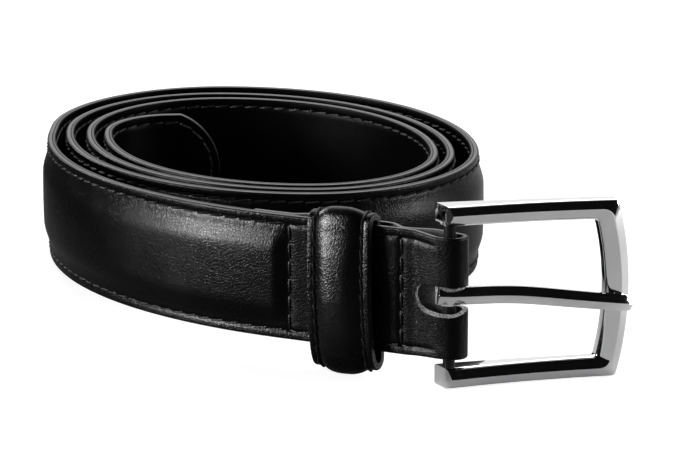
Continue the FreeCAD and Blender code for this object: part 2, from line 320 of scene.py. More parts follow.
class Loop:
    """The face leather's inner side from the start of the loop to the end of the flap."""

    def __init__(self, step=0.05, ease=0.75):
        corners = np.array(bar_loop)
        lengths = np.concatenate([[0.0], np.cumsum(np.hypot(*np.diff(corners, axis=0).T))])
        count = int(lengths[-1] / step)
        at = np.linspace(0.0, lengths[-1], count)
        path = np.stack([np.interp(at, lengths, corners[:, k]) for k in range(2)], -1)
        reach = int(3 * ease / step)
        window = np.exp(-0.5 * (np.arange(-reach, reach + 1) * step / ease) ** 2)
        window /= window.sum()
        first, last = path[1] - path[0], path[-1] - path[-2]
        before = path[0] + first * np.arange(-reach, 0)[:, None]
        after = path[-1] + last * np.arange(1, reach + 1)[:, None]
        padded = np.concatenate([before, path, after])
        path = np.stack([np.convolve(padded[:, k], window, "valid") for k in range(2)], -1)
        self.travel = np.concatenate(
            [[0.0], np.cumsum(np.hypot(*np.diff(path, axis=0).T))]) * MM
        self.path = path * MM
        self.heading = np.gradient(path, axis=0)
        self.heading /= np.linalg.norm(self.heading, axis=1, keepdims=True)
        self.length = self.travel[-1]

    def flat(self, travels):
        """(along, inwards) places and headings."""
        travels = np.asarray(travels, float)
        place = np.stack([np.interp(travels, self.travel, self.path[:, k])
                          for k in range(2)], -1)
        heading = np.stack([np.interp(travels, self.travel, self.heading[:, k])
                            for k in range(2)], -1)
        heading /= np.linalg.norm(heading, axis=-1, keepdims=True)
        return place, heading


loop = Loop()
face_length = loop_start + loop.length


def face_line(distances):
    """Places and axes of the face leather's inner side, from the tip to the flap's end."""
    distances = np.asarray(distances, float)
    place, ahead, left, high = line.at(np.minimum(distances, loop_start))
    flat, heading = loop.flat(distances - loop_start)
    turned = distances > loop_start
    ahead_there = heading[..., :1] * along + heading[..., 1:] * inward
    left_there = -heading[..., 1:] * along + heading[..., :1] * inward
    place_there = end_point + flat[..., :1] * along + flat[..., 1:] * inward
    turned = turned[..., None]
    return (np.where(turned, place_there, place), np.where(turned, ahead_there, ahead),
            np.where(turned, left_there, left), np.where(turned, up, high))


def travel_to(x, after=0.0):
    """Distance from the tip to the place on the loop x before the bar, after a travel."""
    ahead = loop.travel >= after
    nearest = np.argmin(np.abs(loop.path[ahead, 0] + x))
    return loop_start + loop.travel[ahead][nearest]


fold_travel = loop.travel[np.argmax(loop.path[:, 0])]
fold_top = loop_start + fold_travel
far_seam = line.length - far_seam_reach
near_seam = travel_to(near_seam_reach)


# ---------------------------------------------------------------- materials


class Wire:
    """A shader socket that can be used in arithmetic."""

    def __init__(self, finish, socket):
        self.finish = finish
        self.socket = socket

    def maths(self, operation, first, second):
        return self.finish.node("ShaderNodeMath", {"operation": operation},
                                {0: first, 1: second})

    def __add__(self, other):
        return self.maths("ADD", self, other)

    def __radd__(self, other):
        return self.maths("ADD", other, self)

    def __sub__(self, other):
        return self.maths("SUBTRACT", self, other)

    def __rsub__(self, other):
        return self.maths("SUBTRACT", other, self)

    def __mul__(self, other):
        return self.maths("MULTIPLY", self, other)

    def __rmul__(self, other):
        return self.maths("MULTIPLY", other, self)


class Finish:
    """A material, or the world, built up node by node."""

    def __init__(self, owner):
        self.owner = owner
        owner.use_nodes = True
        self.tree = owner.node_tree
        self.tree.nodes.clear()

    def node(self, kind, settings=None, inputs=None, output=0):
        """A node of any kind: its settings first, then the values or links of its sockets."""
        made = self.tree.nodes.new(kind)
        for key, value in (settings or {}).items():
            setattr(made, key, value)
        for key, value in (inputs or {}).items():
            if isinstance(value, Wire):
                self.tree.links.new(value.socket, made.inputs[key])
            else:
                made.inputs[key].default_value = value
        return Wire(self, made.outputs[output]) if made.outputs else None

    def place(self):
        return self.node("ShaderNodeTexCoord", output="Object")

    def surface_map(self):
        """Metres along the leather and round its section."""
        return self.node("ShaderNodeUVMap", {"uv_map": "along"})

    def stretched(self, vector, scale):
        return self.node("ShaderNodeMapping", None, {"Vector": vector, "Scale": scale})

    def noise(self, vector, scale, detail=2.0, rough=0.5):
        return self.node("ShaderNodeTexNoise", None, {
            "Vector": vector, "Scale": scale, "Detail": detail, "Roughness": rough})

    def cells(self, vector, scale):
        """Distance from the borders of irregular cells."""
        return self.node("ShaderNodeTexVoronoi", {"feature": "DISTANCE_TO_EDGE"},
                         {"Vector": vector, "Scale": scale})

    def ramp(self, value, low, high):
        """Value eased from 0 at low to 1 at high."""
        return self.node("ShaderNodeMapRange", {"interpolation_type": "SMOOTHSTEP"},
                         {"Value": value, "From Min": low, "From Max": high})

    def blend(self, factor, first, second):
        """Colour mixed from two by a factor from 0 to 1."""
        return self.node("ShaderNodeMix", {"data_type": "RGBA"},
                         {0: factor, 6: first, 7: second}, 2)

    def bump(self, height, depth):
        """Normal of a surface that rises by depth where the height is 1."""
        return self.node("ShaderNodeBump", None, {"Height": height, "Distance": depth})

    def matt(self, colour):
        """Surface without any shine."""
        return self.node("ShaderNodeBsdfPrincipled", None, {
            "Base Color": colour, "Roughness": 1.0, "Specular IOR Level": 0.0})

    def finish(self, **inputs):
        """Close the material with a surface whose inputs are given by name."""
        named = {key.replace("_", " ").title().replace("Ior", "IOR"): value
                 for key, value in inputs.items()}
        shader = self.node("ShaderNodeBsdfPrincipled", None, named)
        self.node("ShaderNodeOutputMaterial", None, {"Surface": shader})
        return self.owner


def shade(colour, factor=1.0):
    """Colour made lighter or darker, with its alpha."""
    return (colour[0] * factor, colour[1] * factor, colour[2] * factor, 1.0)


def new_finish(name):
    return Finish(bpy.data.materials.new(name))


def grained_leather(name, colour, gloss, grain, depth, creases, shine=0.04):
    """Dyed full-grain leather: pebbled grain, fine pores, pull-up creases and soft sheen.

    grain is how many pebbles there are in a metre, depth how deep they are."""
    f = new_finish(name)
    place = f.place()
    wander = f.noise(place, grain * 0.35, 2.0)
    pebbles = f.cells(place, grain)
    furrow = f.ramp(pebbles, 0.0, 0.22)
    fine = f.noise(place, grain * 2.4, 3.0, 0.6)
    lie = f.stretched(f.surface_map(), (420.0, 1500.0, 1.0))
    pulled = f.noise(lie, 1.0, 3.0, 0.55)
    broad = f.noise(place, 55.0, 2.0, 0.5)
    # short puckers that run down the face from the stitches
    across = f.node("ShaderNodeSeparateXYZ", None, {0: f.surface_map()}, "Y")
    drawn = f.ramp(across, 0.0070, 0.0026) + f.ramp(across, 0.0270, 0.0315)
    puckers = f.noise(f.stretched(f.surface_map(), (820.0, 120.0, 1.0)), 1.0, 2.0, 0.5)
    height = (furrow * 0.55 + fine * 0.35 + pulled * creases + wander * 0.3
              + puckers * drawn * 3.6)
    worn = f.ramp(broad, 0.35, 0.7)
    base = f.blend(worn, shade(colour, 0.75), shade(colour, 1.45))
    # painted shade: the grain's furrows, where the bump sinks, are painted darker
    base = f.blend(furrow, shade(colour, 0.5), base)
    roughness = gloss + 0.10 * fine - 0.05 * furrow + 0.06 * worn
    normal = f.bump(height, depth)
    return f.finish(base_color=base, roughness=roughness, normal=normal,
                    specular_ior_level=shine)


def edge_paint(name, colour, shine=0.30):
    """Painted and burnished strap edge."""
    f = new_finish(name)
    place = f.place()
    fibres = f.noise(place, 900.0, 3.0, 0.6)
    broad = f.noise(place, 90.0, 2.0)
    base = f.blend(broad, shade(colour, 1.0), shade(colour, 2.2))
    normal = f.bump(fibres + broad * 0.5, 0.00005)
    return f.finish(base_color=base, roughness=0.30 + 0.12 * fibres, normal=normal,
                    specular_ior_level=shine)


def raw_leather(name, colour):
    """Cut or flesh side: fibrous and dull."""
    f = new_finish(name)
    place = f.place()
    fibres = f.noise(place, 2300.0, 4.0, 0.7)
    clumps = f.noise(place, 380.0, 2.0)
    base = f.blend(f.ramp(fibres, 0.42, 0.62), shade(colour, 0.15), shade(colour, 2.3))
    normal = f.bump(fibres * 0.6 + clumps * 0.5, 0.00030)
    return f.finish(base_color=base, roughness=0.75 + 0.15 * clumps, normal=normal)


def twisted_thread(name, colour):
    """Waxed polyester thread, its plies wound round it."""
    f = new_finish(name)
    plies = f.node("ShaderNodeTexWave", {"bands_direction": "DIAGONAL"},
                   {"Vector": f.surface_map(), "Scale": 1.6, "Distortion": 0.4})
    fuzz = f.noise(f.place(), 2500.0, 2.0)
    base = f.blend(plies, shade(colour, 0.6), shade(colour, 2.2))
    normal = f.bump(plies + fuzz * 0.3, 0.00008)
    return f.finish(base_color=base, roughness=0.30 + 0.15 * fuzz, normal=normal,
                    specular_ior_level=0.09)


def plated_metal(name, colour, gloss):
    """Bright plating with the faintest waves and rub marks."""
    f = new_finish(name)
    place = f.place()
    waves = f.noise(place, 110.0, 1.0)
    rubs = f.noise(f.stretched(place, (260.0, 2600.0, 900.0)), 1.0, 3.0, 0.6)
    base = f.blend(f.ramp(waves, 0.3, 0.7), shade(colour, 0.94), shade(colour, 1.0))
    roughness = gloss + 0.05 * f.ramp(rubs, 0.55, 0.75)
    normal = f.bump(waves + rubs * 0.02, 0.00002)
    return f.finish(base_color=base, roughness=roughness, metallic=1.0, normal=normal)


def steel_in_painted_shade(name, colour):
    """Plain steel pin, dull, its colour nearly black as painted shade where it shows between the
    legs and the fold.
    """
    f = new_finish(name)
    place = f.place()
    stain = f.noise(place, 700.0, 3.0, 0.6)
    base = f.blend(stain, shade(colour, 0.004), shade(colour, 0.016))
    normal = f.bump(stain, 0.00003)
    return f.finish(base_color=base, roughness=0.38 + 0.2 * stain, normal=normal,
                    specular_ior_level=0.03)


# ---------------------------------------------------------------- meshes


def new_piece(name, vertices, faces, finishes, uvs, slots=None):
    """Mesh object at the origin, with a place on the leather's own map for each vertex
    and a finish for each face."""
    mesh = bpy.data.meshes.new(name)
    mesh.from_pydata(vertices.tolist(), [], faces)
    for finish in finishes:
        mesh.materials.append(finish)
    if slots is not None:
        mesh.polygons.foreach_set("material_index", slots)
    layer = mesh.uv_layers.new(name="along")
    corners = np.zeros(len(mesh.loops), np.int64)
    mesh.loops.foreach_get("vertex_index", corners)
    layer.data.foreach_set("uv", uvs[corners].astype(np.float32).ravel())
    piece = bpy.data.objects.new(name, mesh)
    bpy.context.scene.collection.objects.link(piece)
    mesh.validate()
    return piece


def merge_doubles(piece, distance=0.001 * MM):
    """Join points that fall together, drop what has no area, and face outwards."""
    mesh = bmesh.new()
    mesh.from_mesh(piece.data)
    bmesh.ops.remove_doubles(mesh, verts=mesh.verts, dist=distance)
    bmesh.ops.dissolve_degenerate(mesh, edges=mesh.edges, dist=distance)
    bmesh.ops.recalc_face_normals(mesh, faces=mesh.faces)
    mesh.to_mesh(piece.data)
    mesh.free()


def deselect():
    """Leave edit mode, with nothing selected."""
    if bpy.context.object and bpy.context.object.mode != "OBJECT":
        bpy.ops.object.mode_set(mode="OBJECT")
    bpy.ops.object.select_all(action="DESELECT")


def only(piece):
    """Make this the one selected and active object."""
    deselect()
    piece.select_set(True)
    bpy.context.view_layer.objects.active = piece


def soften(piece, degrees):
    """Smooth shading, except over edges sharper than this."""
    only(piece)
    bpy.ops.object.shade_smooth_by_angle(angle=math.radians(degrees))


def settle(piece):
    """Put the object's place into its mesh."""
    only(piece)
    bpy.ops.object.transform_apply(location=True, rotation=True, scale=True)


def combine(piece, other, operation):
    """Cut with, join or keep what is common with another object, which is used up."""
    only(piece)
    modifier = piece.modifiers.new("shape", "BOOLEAN")
    modifier.operation = operation
    modifier.solver = "MANIFOLD"
    modifier.material_mode = "TRANSFER"
    modifier.object = other
    bpy.ops.object.modifier_apply(modifier=modifier.name)
    bpy.data.objects.remove(other)


def hand_over(piece, body, slot, *nodes):
    """The piece rides on its body and stands for its nodes."""
    if not piece.data.polygons:
        raise RuntimeError(f"{piece.name} came out empty")
    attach(piece, body)
    if nodes:
        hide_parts(*nodes)


def band(name, stations, profile, frames, finishes, slot_of):
    """Closed band of leather: profile(station) gives (across, out) points of its section.

    It starts at the tip, where the section has no width, and is closed at the far end."""
    rings, maps = [], []
    places, _, left, high = frames(stations)
    for i, station in enumerate(stations):
        across, out = profile(station)
        ring = places[i] - left[i] * out[:, None] + high[i] * across[:, None]
        rings.append(ring)
        girth = np.concatenate([[0.0], np.cumsum(np.hypot(np.diff(across), np.diff(out)))])
        maps.append(np.stack([np.full(len(across), station), girth], -1))
    size = len(rings[0])
    vertices, uvs = np.concatenate(rings), np.concatenate(maps)
    faces, slots = [], []
    for i in range(len(stations) - 1):
        for j in range(size):
            k = (j + 1) % size
            a, b = i * size, (i + 1) * size
            faces.append((a + j, a + k, b + k, b + j))
            slots.append(slot_of(j))
    last = (len(stations) - 1) * size
    faces.append(tuple(last + j for j in range(size)))
    slots.append(1)
    piece = new_piece(name, vertices, faces, finishes, uvs, slots)
    merge_doubles(piece)
    return piece


def tip_depth(distance, across, half, tip_rise):
    """Distance in from the strap's outline, whose tip is an arc, and the half width there."""
    radius = (half ** 2 + tip_rise ** 2) / (2 * tip_rise)
    width = np.where(distance < tip_rise,
                     np.sqrt(np.maximum(radius ** 2 - (radius - distance) ** 2, 0.0)), half)
    inset = half - np.abs(across)
    round_end = radius - np.hypot(radius - distance, across)
    return np.where(distance < radius, np.minimum(inset, round_end), inset), width


# How far in from an edge the section has points: close together where it turns.
edge_steps = np.array([0.0, 0.03, 0.10, 0.22, 0.38, 0.60, 1.1, 1.5, 1.8, 2.0, 2.15, 2.35,
                       2.5, 2.75, 3.1, 3.7, 4.5, 5.4, 6.4, 7.4, 8.6, 10.2, 12.0, 14.0]) * MM
edge_steps_back = np.array([0.0, 0.04, 0.15, 0.5, 4.0, 10.0]) * MM


def both_sides(steps, half=16.0 * MM):
    """Positions from the top edge to the bottom one, as parts of the half width."""
    top = 1.0 - steps / half
    return np.concatenate([top, [0.0], -top[::-1]])


front_across = both_sides(edge_steps)
back_across = both_sides(edge_steps_back)[::-1]
front_count = len(front_across)
section_count = front_count + len(back_across)
edge_faces = (front_count - 1, section_count - 1)     # the two cut edges of a section


def rounded(depth, radius):
    """How far a rounded edge falls away at a depth in from the edge."""
    inside = np.clip(depth, 0.0, radius)
    return radius - np.sqrt(np.maximum(radius ** 2 - (radius - inside) ** 2, 0.0))


def strap_half(distance, sizes):
    """Half width of the face leather: it is drawn in where it turns round the bar."""
    half, fold = sizes.width / 2, sizes.fold_width / 2
    before = smooth((distance - (fold_top - 17.0 * MM)) / (12.0 * MM))
    after = smooth((distance - (fold_top + 3.0 * MM)) / (8.0 * MM))
    return half - (half - fold) * before * (1.0 - after)


def padding_at(distance, depth, sizes):
    """Height of the padded face over the flat margin; it runs out at the far seam."""
    rise = smooth((depth - sizes.flange) / sizes.shoulder)
    crown = 0.9 * rise + 0.1 * smooth((depth - sizes.flange) / (13.0 * MM))
    tail = 1.0 - smooth((distance - (far_seam - 4.2 * MM)) / (3.7 * MM))
    return sizes.padding * crown * tail


def face_section(distance, belt):
    """Points round the face leather at a distance from the tip, as (across, out)."""
    sizes, stitch = belt.strap, belt.stitch
    half = strap_half(distance, sizes)
    width = tip_depth(distance, np.zeros(1), sizes.width / 2, sizes.tip_rise)[1]
    if distance < sizes.tip_rise:
        half = float(width)
    across = front_across * half
    depth, _ = tip_depth(distance, across, sizes.width / 2, sizes.tip_rise)
    depth = np.minimum(depth, (1.0 - np.abs(front_across)) * half + 1e-9)
    from_end = face_length - distance
    close = np.minimum(depth, from_end)
    out = sizes.face + padding_at(distance, depth, sizes) - rounded(close, sizes.edge)
    # the rows lie in a groove, which leaves off round the fold
    turned = smooth((distance - (fold_top - 9.0 * MM)) / (3.0 * MM))
    back_again = smooth((distance - (fold_top + 9.0 * MM)) / (3.0 * MM))
    stitched = 1.0 - turned * (1.0 - back_again)
    out = out - stitch.groove * stitched * hump(depth, stitch.inset, 0.55 * MM)
    # the seams across draw the leather in between the rows
    for seam in (far_seam, near_seam):
        inside = smooth((depth - stitch.inset + 0.4 * MM) / (0.5 * MM))
        out = out - seam_groove * stitch.groove * inside * hump(distance, seam, 0.8 * MM)
    back = back_across * half
    back_depth = (1.0 - np.abs(back_across)) * half
    back_out = rounded(np.minimum(back_depth, from_end), 0.15 * MM)
    return np.concatenate([across, back]), np.concatenate([out, back_out])


def lining_section(distance, belt):
    """Points round the lining at a distance from the tip, as (across, out)."""
    sizes, stitch = belt.strap, belt.stitch
    half = sizes.width / 2
    if distance < sizes.tip_rise:
        half = float(tip_depth(distance, np.zeros(1), half, sizes.tip_rise)[1])
    across = front_across * half
    depth, _ = tip_depth(distance, across, sizes.width / 2, sizes.tip_rise)
    depth = np.minimum(depth, (1.0 - np.abs(front_across)) * half + 1e-9)
    out = -sizes.lining + rounded(depth, 0.35 * MM)
    out = out + lining_groove * stitch.groove * hump(depth, stitch.inset, 0.5 * MM)
    back = back_across * half
    back_depth = (1.0 - np.abs(back_across)) * half
    back_out = -rounded(back_depth, 0.15 * MM)
    return np.concatenate([across, back]), np.concatenate([out, back_out])


def strap_stations(end):
    """Distances from the tip at which the section is set: close together where it changes."""
    tip = np.array([0.0, 0.04, 0.12, 0.25, 0.45, 0.7, 1.0, 1.3, 1.6, 1.9, 2.2, 2.5, 2.9,
                    3.4, 4.0, 4.8, 5.6, 6.5, 7.4, 8.4, 9.4, 10.2, 11.0, 12.0, 13.2]) * MM
    coil = np.arange(14.6, (line.length - 54.0 * MM) / MM, 1.7) * MM
    quiet = np.arange(line.length / MM - 53.0, loop_start / MM - 0.3, 0.7) * MM
    turned = loop_start + np.arange(0.0, loop.length / MM, 0.42) * MM
    stations = np.concatenate([tip, coil, quiet, turned])
    stations = stations[stations < end - 0.5 * MM]
    return np.concatenate([stations, end - np.array([0.45, 0.25, 0.1, 0.03, 0.0]) * MM])


def oriented(axes, place):
    """Matrix from three axes, as columns, and a place."""
    turned = Matrix([list(row) for row in np.column_stack(axes)]).to_4x4()
    turned.translation = Vector(place)
    return turned


def buckle_end(x, y, z):
    """A place in the buckle end's own axes, from millimetres."""
    return end_point + (along * x + inward * y + up * z) * MM


def hole_punches(belt, finish):
    """Cutters for the row of punched holes, square to the coiled strap at each place."""
    punches = []
    for distance in first_hole + hole_pitch * np.arange(hole_count):
        place, ahead, left, high = line.at(distance)
        deselect()
        bpy.ops.mesh.primitive_cylinder_add(
            vertices=40, radius=belt.strap.hole_radius, depth=12 * MM)
        punch = bpy.context.object
        punch.matrix_world = oriented((ahead, high, -left), place)
        settle(punch)
        punch.data.materials.append(finish)
        punches.append(punch)
    return punches


# The prong's slot in the buckle end's own axes, mm: a round end and two straight
# stretches, the first through the front layer, the second through the fold.
slot_radius = 3.05
slot_round_end = (-5.3, -7.7)
slot_stretches = (((4.7, -7.7), (20.0, 6.1, 16.0)), ((5.5, 0.0), (20.0, 5.9, 29.0)))
slot_flare = 0.42                # slope of the lower lip towards the front
slot_flare_height = 3.0 * MM     # the flare is full at this distance below the middle


def slot_cutter(finish):
    """Cutter for the prong's slot, which goes round the fold; its lower lip is flared."""
    facing = (along, up, -inward)
    deselect()
    bpy.ops.mesh.primitive_cylinder_add(vertices=64, radius=slot_radius * MM, depth=16 * MM)
    round_end = bpy.context.object
    round_end.matrix_world = oriented(facing, buckle_end(*slot_round_end, 0.0))
    parts = [round_end]
    for middle, size in slot_stretches:
        deselect()
        bpy.ops.mesh.primitive_cube_add(size=1.0)
        stretch = bpy.context.object
        stretch.matrix_world = (oriented(facing, buckle_end(*middle, 0.0))
                                @ Matrix.Diagonal([v * MM for v in size] + [1.0]))
        parts.append(stretch)
    for part in parts:
        settle(part)
        part.data.materials.append(finish)
    for part in parts[:-1]:
        # the lower wall slopes down towards the front
        for vertex in part.data.vertices:
            offset = np.array(vertex.co) - end_point
            height, depth = offset @ up, offset @ inward
            if height < 0.0:
                lean = slot_flare * min(0.0, depth) * min(1.0, -height / slot_flare_height)
                vertex.co = Vector(np.array(vertex.co) + up * lean)
    for part in parts[1:]:
        combine(round_end, part, "UNION")
    return round_end


def cut_all(piece, cutters):
    """Cut with several separate cutters at once."""
    only(cutters[0])
    for cutter in cutters[1:]:
        cutter.select_set(True)
    if len(cutters) > 1:
        bpy.ops.object.join()
    combine(piece, cutters[0], "DIFFERENCE")


def strand(pitch, thread):
    """One stitch lying along X, out along Z, its ends dipping into their holes."""
    tail, sides = 0.55 * MM, 6
    reach = pitch / 2 - 0.32 * MM
    spine = [(-reach, -tail), (-reach + 0.12 * MM, 0.02 * MM), (-reach * 0.72, 0.2 * MM),
             (0.0, 0.26 * MM), (reach * 0.72, 0.2 * MM), (reach - 0.12 * MM, 0.02 * MM),
             (reach, -tail)]
    widths = [0.75, 0.9, 1.0, 1.05, 1.0, 0.9, 0.75]
    vertices, uvs = [], []
    for i, ((x, z), width) in enumerate(zip(spine, widths)):
        before, after = spine[max(i - 1, 0)], spine[min(i + 1, len(spine) - 1)]
        heading = math.atan2(after[1] - before[1], after[0] - before[0])
        for j in range(sides):
            angle = 2 * math.pi * j / sides
            radius = thread / 2 * width
            lift, side = radius * math.cos(angle), radius * math.sin(angle)
            vertices.append((x - lift * math.sin(heading), side,
                             z + lift * math.cos(heading)))
            uvs.append((i * 0.6, j / sides))
    faces = []
    for i in range(len(spine) - 1):
        for j in range(sides):
            k = (j + 1) % sides
            a, b = i * sides, (i + 1) * sides
            faces.append((a + j, b + j, b + k, a + k))
    faces.append(tuple(range(sides)))
    faces.append(tuple((len(spine) - 1) * sides + j for j in range(sides))[::-1])
    return np.array(vertices), faces, np.array(uvs)


def sew(name, places, runs, outs, finish, belt):
    """A row of stitches: place, running direction and outward direction of each.

    Each lies a little slantwise in its row, as a lock stitch does."""
    one, faces, uvs = strand(belt.stitch.pitch, belt.stitch.thread)
    turn = math.radians(6.0)
    cloud, all_faces, all_uvs = [], [], []
    for place, run, out in zip(places, runs, outs):
        run = run - out * np.dot(run, out)
        run = run / np.linalg.norm(run)
        side = np.cross(out, run)
        run, side = (run * math.cos(turn) + side * math.sin(turn),
                     side * math.cos(turn) - run * math.sin(turn))
        start = len(cloud) * len(one)
        cloud.append(place + one[:, :1] * run + one[:, 1:2] * side + one[:, 2:] * out)
        all_faces += [tuple(start + v for v in face) for face in faces]
        all_uvs.append(uvs)
    piece = new_piece(name, np.concatenate(cloud), all_faces, [finish],
                      np.concatenate(all_uvs))
    for polygon in piece.data.polygons:
        polygon.use_smooth = True
    return piece


def margin_path(start, belt):
    """The row along both edges and round the tip: (distance, across) and heading of each
    stitch, from the upper edge to the lower one."""
    sizes, inset = belt.strap, belt.stitch.inset
    half = sizes.width / 2
    radius = (half ** 2 + sizes.tip_rise ** 2) / (2 * sizes.tip_rise)
    row = half - inset
    small = radius - inset
    turn = math.asin(min(row / small, 1.0))
    join = radius - small * math.cos(turn)
    straight = np.arange(start, join, -0.5 * MM)
    angles = np.linspace(turn, -turn, 60)
    tip = np.stack([radius - small * np.cos(angles), small * np.sin(angles)], -1)
    top = np.stack([straight, np.full(len(straight), row)], -1)
    bottom = np.stack([straight[::-1], np.full(len(straight), -row)], -1)
    path = np.concatenate([top, tip, bottom])
    travelled = np.concatenate([[0.0], np.cumsum(np.hypot(*np.diff(path, axis=0).T))])
    count = int(travelled[-1] / belt.stitch.pitch)
    at = (np.arange(count) + 0.5) * travelled[-1] / count
    points = np.stack([np.interp(at, travelled, path[:, k]) for k in range(2)], -1)
    ahead = np.stack([np.interp(at + 0.3 * MM, travelled, path[:, k]) for k in range(2)], -1)
    return points, ahead - points


# ---------------------------------------------------------------- operators


class BELT_OT_strap_face(bpy.types.Operator):
    """Padded face leather from the tip round the coil, round the bar and back"""

    bl_idname = "belt.strap_face"
    bl_label = "Face leather"

    def execute(self, context):
        belt = context.scene.belt
        colours = belt.finish
        leather = grained_leather("face leather", colours.leather, colours.gloss,
                                  grain=1450.0, depth=0.000045, creases=0.35)
        paint = edge_paint("edge paint", shade(colours.leather, 3.0)[:3])
        flesh = raw_leather("flesh side", shade(colours.raw_edge, 0.05)[:3])
        cut = raw_leather("cut edge", colours.raw_edge)

        def slot_of(j):
            if j in edge_faces:
                return 1
            return 0 if j < front_count else 2

        piece = band("strap_face_leather", strap_stations(face_length),
                     lambda d: face_section(d, belt), face_line,
                     [leather, paint, flesh, cut], slot_of)
        cut_all(piece, [slot_cutter(cut)] + hole_punches(belt, cut))
        soften(piece, 50.0)
        hand_over(piece, "strap", "face_leather", "strap_face")
        return {"FINISHED"}


class BELT_OT_strap_lining(bpy.types.Operator):
    """Plain lining leather behind the face, from the tip to the buckle end"""

    bl_idname = "belt.strap_lining"
    bl_label = "Lining"

    def execute(self, context):
        belt = context.scene.belt
        leather = grained_leather("lining leather", belt.finish.lining, 0.36, grain=1500.0,
                                  depth=0.00003, creases=0.1, shine=0.011)
        paint = edge_paint("lining edge paint", shade(belt.finish.lining, 4.0)[:3],
                           shine=0.14)
        cut = raw_leather("punched edge", belt.finish.raw_edge)
        piece = band("strap_lining_leather",
                     strap_stations(line.length - lining_end_reach),
                     lambda d: lining_section(d, belt), line.at, [leather, paint, cut],
                     lambda j: 1 if j in edge_faces else 0)
        cut_all(piece, hole_punches(belt, cut))
        soften(piece, 50.0)
        hand_over(piece, "strap", "lining_leather", "strap_lining")
        return {"FINISHED"}


def margin_rows(belt):
    """Rows along both edges of face and lining: name, places, runs and outs of each."""
    sizes, stitch = belt.strap, belt.stitch
    points, headings = margin_path(far_seam - seam_clearance, belt)
    place, ahead, left, high = line.at(points[:, 0])
    run = ahead * headings[:, :1] + high * headings[:, 1:]
    middle = place + high * points[:, 1:]
    face_level = sizes.face - stitch.groove
    lining_level = sizes.lining - stitch.groove * lining_groove
    return [("stitches_face", middle - left * face_level, run, -left),
            ("stitches_lining", middle + left * lining_level, run, left)]


def end_rows(belt):
    """Rows along the edges of the buckle end, up to the near seam, and behind from there."""
    sizes, stitch = belt.strap, belt.stitch
    rows = []
    for name, start, end in (
            ("stitches_front_end", far_seam + seam_clearance, near_seam),
            ("stitches_back_end", travel_to(near_seam_reach + 0.6 * MM, fold_travel),
             face_length - 2 * seam_clearance)):
        count = int((end - start) / stitch.pitch)
        at = start + (np.arange(count) + 0.5) * (end - start) / count
        at = np.concatenate([at, at])
        row = (strap_half(at, sizes) - stitch.inset) * np.repeat([1, -1], count)
        place, ahead, left, high = face_line(at)
        level = sizes.face - stitch.groove
        rows.append((name, place + high * row[:, None] - left * level, ahead, -left))
    return rows


def seam_rows(belt):
    """Rows across the strap at both seams, in front and behind."""
    sizes, stitch = belt.strap, belt.stitch
    rows = []
    for name, distance in (
            ("stitches_far_seam", far_seam), ("stitches_near_seam", near_seam),
            ("stitches_far_seam_back", travel_to(far_seam_back_reach, fold_travel)),
            ("stitches_near_seam_back", travel_to(near_seam_reach, fold_travel))):
        reach = sizes.width / 2 - stitch.inset
        count = int(2 * reach / stitch.pitch)
        row = (np.arange(count) + 0.5 - count / 2) * 2 * reach / count
        place, _, left, high = face_line(np.full(count, distance))
        level = sizes.face - seam_groove * stitch.groove
        rows.append((name, place + high * row[:, None] - left * level, high, -left))
    return rows


class BELT_OT_stitching(bpy.types.Operator):
    """Rows of stitches along both edges of face and lining, and the seams at the buckle"""

    bl_idname = "belt.stitching"
    bl_label = "Stitching"

    def execute(self, context):
        belt = context.scene.belt
        thread = twisted_thread("waxed thread", belt.finish.thread)
        for name, places, runs, outs in margin_rows(belt) + end_rows(belt) + seam_rows(belt):
            piece = sew(name, places, runs, outs, thread, belt)
            hand_over(piece, "strap", "face_leather")
        return {"FINISHED"}


# The keeper's outer line round the strap, as (inwards, up) in the buckle end's axes, mm.
keeper_line = [(2.35, -16.5), (2.35, 0.0), (2.3, 15.0), (1.5, 17.9), (-1.4, 18.75),
               (-3.9, 17.0), (-4.9, 11.0), (-5.6, 3.0), (-5.8, -4.0), (-5.5, -12.0),
               (-4.7, -17.6), (-3.1, -20.5), (-0.6, -21.2), (1.6, -20.0)]


def closed_curve(points, count):
    """Even points, outward directions and distances round a smooth closed curve."""
    points = np.array(points)
    many = len(points)
    steps, easing, wrap = 60, 45, 40
    dense = []
    for i in range(many):
        a, b, c, d = (points[(i + k) % many] for k in (-1, 0, 1, 2))
        for t in np.linspace(0.0, 1.0, steps, endpoint=False):
            dense.append(0.5 * (2 * b + (c - a) * t + (2 * a - 5 * b + 4 * c - d) * t ** 2
                                + (3 * b - a - 3 * c + d) * t ** 3))
    dense = np.array(dense)
    window = np.hanning(easing)
    window /= window.sum()
    wrapped = np.concatenate([dense[-wrap:], dense, dense[:wrap]])
    dense = np.stack([np.convolve(wrapped[:, k], window, "same")[wrap:-wrap]
                      for k in range(2)], -1)
    around = np.concatenate([dense, dense[:1]])
    travel = np.concatenate([[0.0], np.cumsum(np.hypot(*np.diff(around, axis=0).T))])
    at = np.arange(count) * travel[-1] / count
    even = np.stack([np.interp(at, travel, around[:, k]) for k in range(2)], -1)
    heading = np.roll(even, -1, 0) - np.roll(even, 1, 0)
    heading /= np.linalg.norm(heading, axis=1, keepdims=True)
    out = np.stack([-heading[:, 1], heading[:, 0]], -1)
    if np.dot(out[0], even[0] - even.mean(0)) < 0:
        out = -out
    return even, out, at


def keeper_place(x, flat):
    """From a distance along the strap and (inwards, up) points to the belt's own axes."""
    return (end_point + np.asarray(x)[..., None] * MM * along
            + flat[..., :1] * MM * inward + flat[..., 1:] * MM * up)


